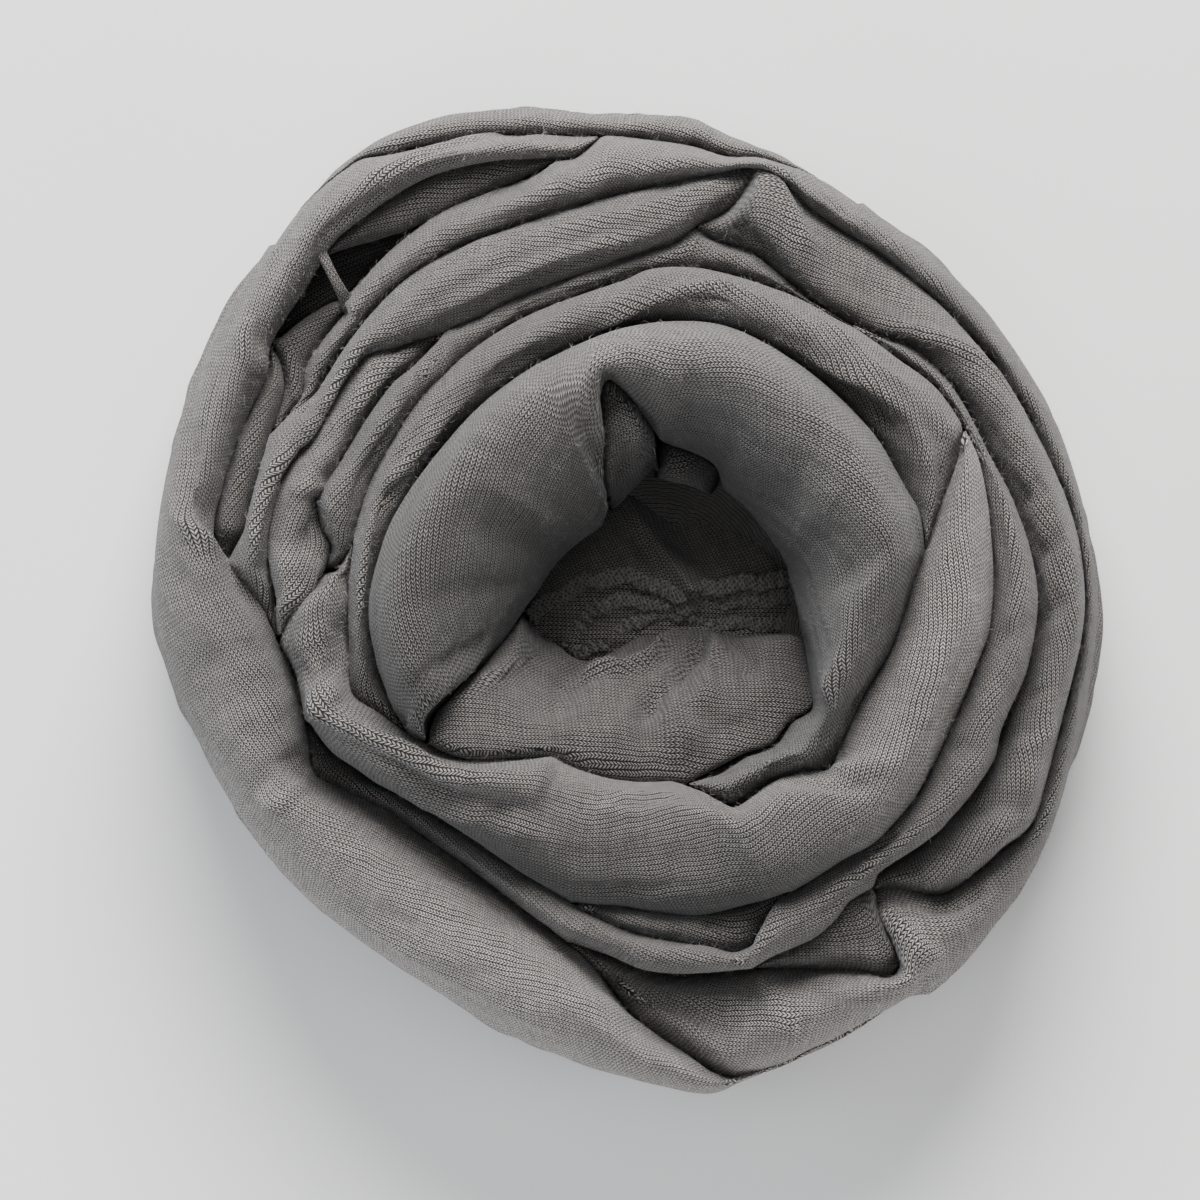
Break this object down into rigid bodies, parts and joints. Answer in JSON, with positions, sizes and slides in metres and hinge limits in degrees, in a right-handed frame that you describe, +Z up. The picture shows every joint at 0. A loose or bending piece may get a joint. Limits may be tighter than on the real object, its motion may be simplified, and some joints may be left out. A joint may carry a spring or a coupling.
{
  "type": "hijab",
  "caption": "Plain jersey hijab folded into a band and coiled into a rosette with an open well in the middle.",
  "frame": {"origin": "middle of the box round the rosette, on the surface that it rests on", "axes": "+Z straight up out of the well, towards the camera; +Y towards the top of the picture; +X towards its right"},
  "size_m": [0.1504, 0.1574, 0.0729],
  "materials": {
    "jersey": "matte heathered fine jersey knit with a soft fuzz"
  },
  "bodies": {
    "root": {"hidden_layers": "jersey", "outer_sliver": "jersey", "outer_wrap_left": "jersey", "outer_wrap_right": "jersey", "under_flap_top": "jersey", "under_flap_left": "jersey", "under_flap_edge": "jersey", "cleft_strand": "jersey", "z_fold": "jersey", "third_wrap_top": "jersey", "third_wrap_right": "jersey", "fourth_wrap_left": "jersey", "rope_fold_upper": "jersey", "rope_fold_lower": "jersey", "thin_layers": "jersey", "second_ring_lower": "jersey", "second_ring_upper": "jersey", "inner_roll": "jersey", "well_strip": "jersey", "well_pocket": "jersey", "well_wall": "jersey", "inner_end": "jersey"}
  },
  "joints": []
}
